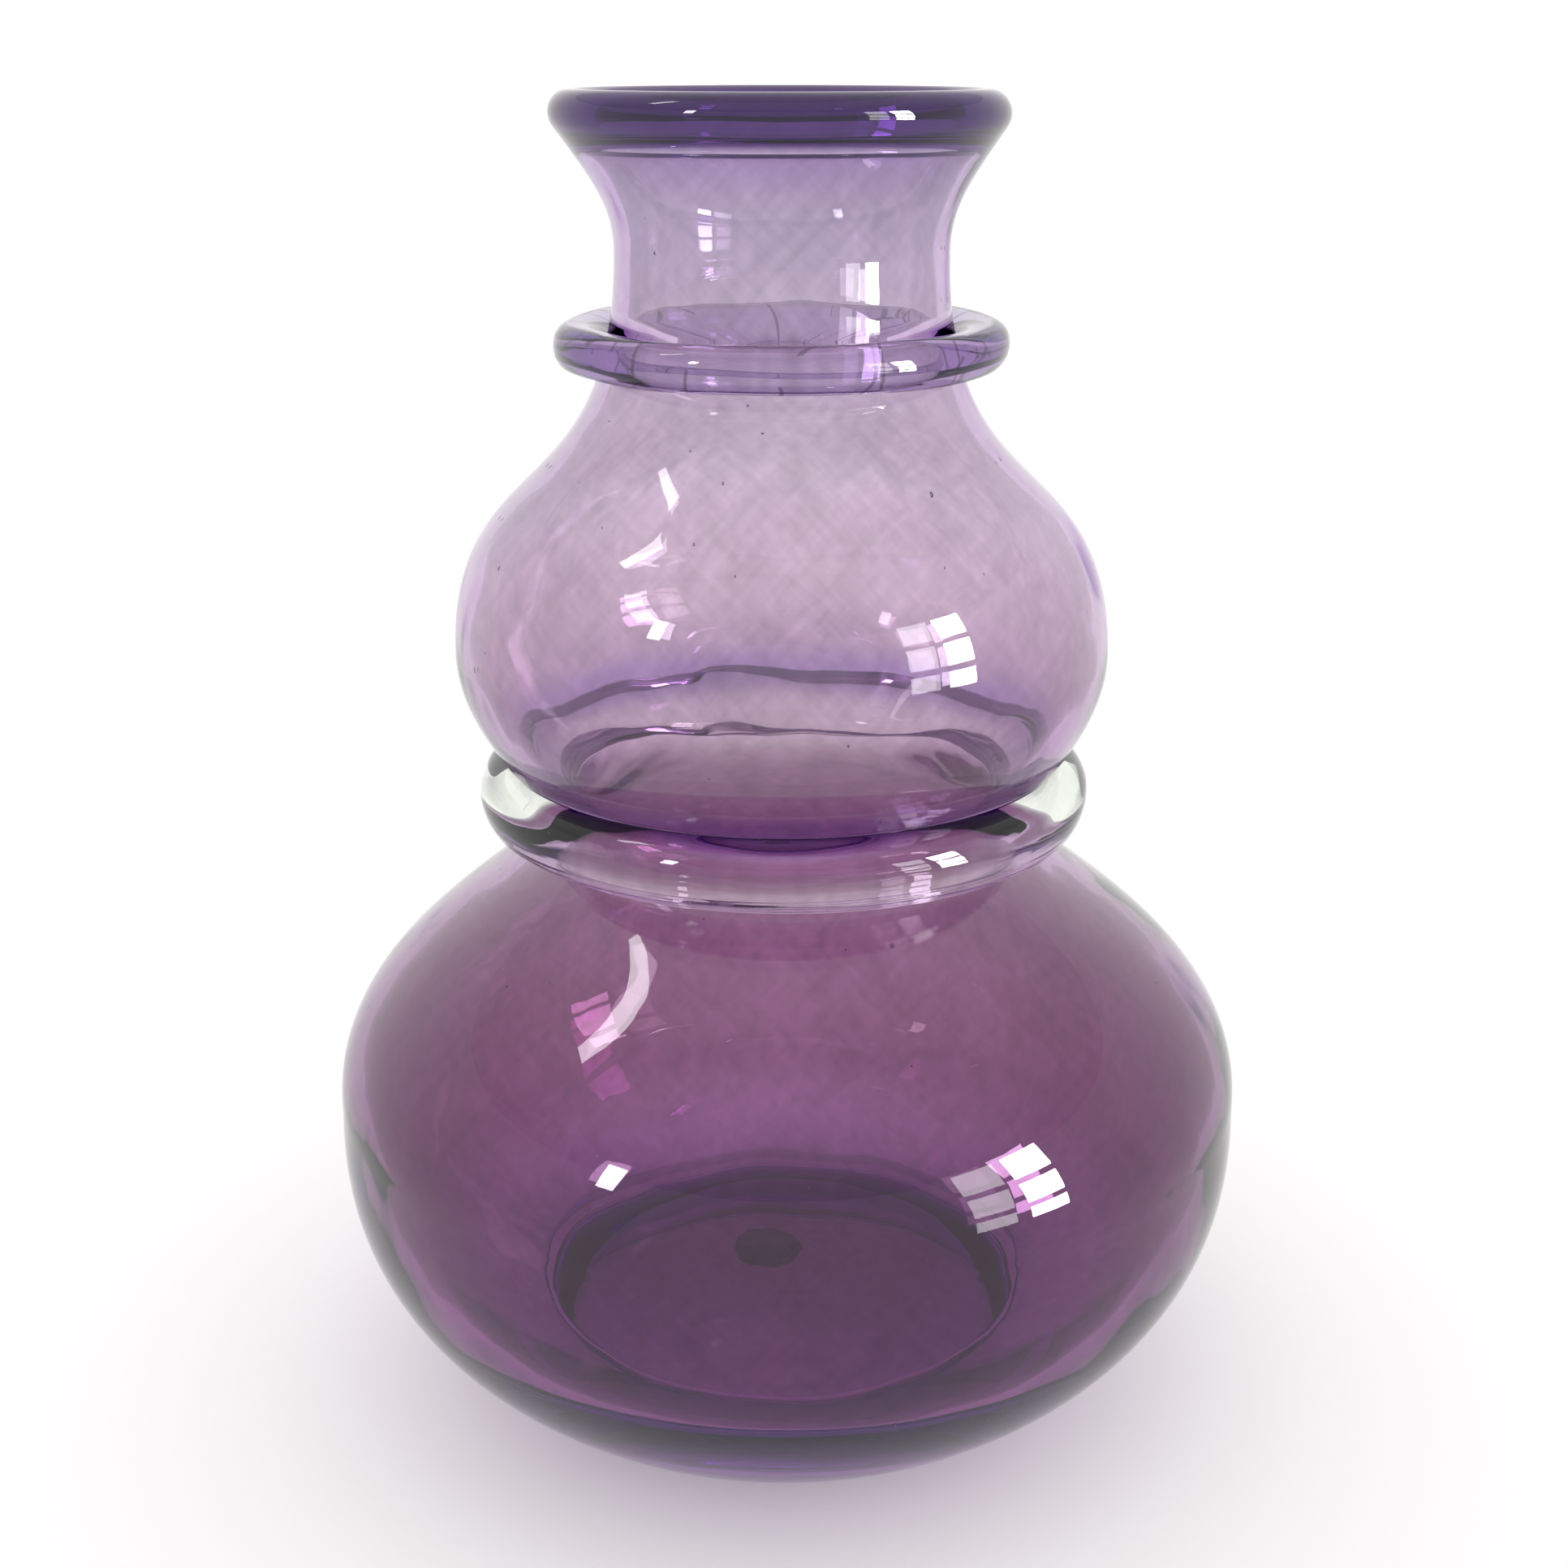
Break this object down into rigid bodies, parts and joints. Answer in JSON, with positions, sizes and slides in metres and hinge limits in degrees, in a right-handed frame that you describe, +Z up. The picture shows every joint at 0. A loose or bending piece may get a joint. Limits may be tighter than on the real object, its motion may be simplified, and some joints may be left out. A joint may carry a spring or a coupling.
{
  "type": "glass bottle",
  "caption": "Double-gourd blown glass bottle with a flared neck, rolled lip, round bulbs, a thick pushed-up base and wrapped glass trail rings.",
  "frame": {"origin": "on the bottle's axis, on the surface it stands on (bottom centre of the bounding box)", "axes": "+Z up along the bottle's axis; +Y towards the back, where the waist trail's lapped end lies; +X to the viewer's right"},
  "size_m": [0.1542, 0.1542, 0.22],
  "materials": {
    "amethyst_glass": "fire-polished, clear",
    "neck_trail_glass": "fire-polished, clear",
    "waist_trail_glass": "fire-polished, colourless",
    "pontil_glass": "rough, snapped off"
  },
  "bodies": {
    "root": {"blown_body": "amethyst_glass", "neck_trail_ring": "neck_trail_glass", "waist_trail_ring": "waist_trail_glass", "pontil_scar": "pontil_glass"}
  },
  "joints": []
}
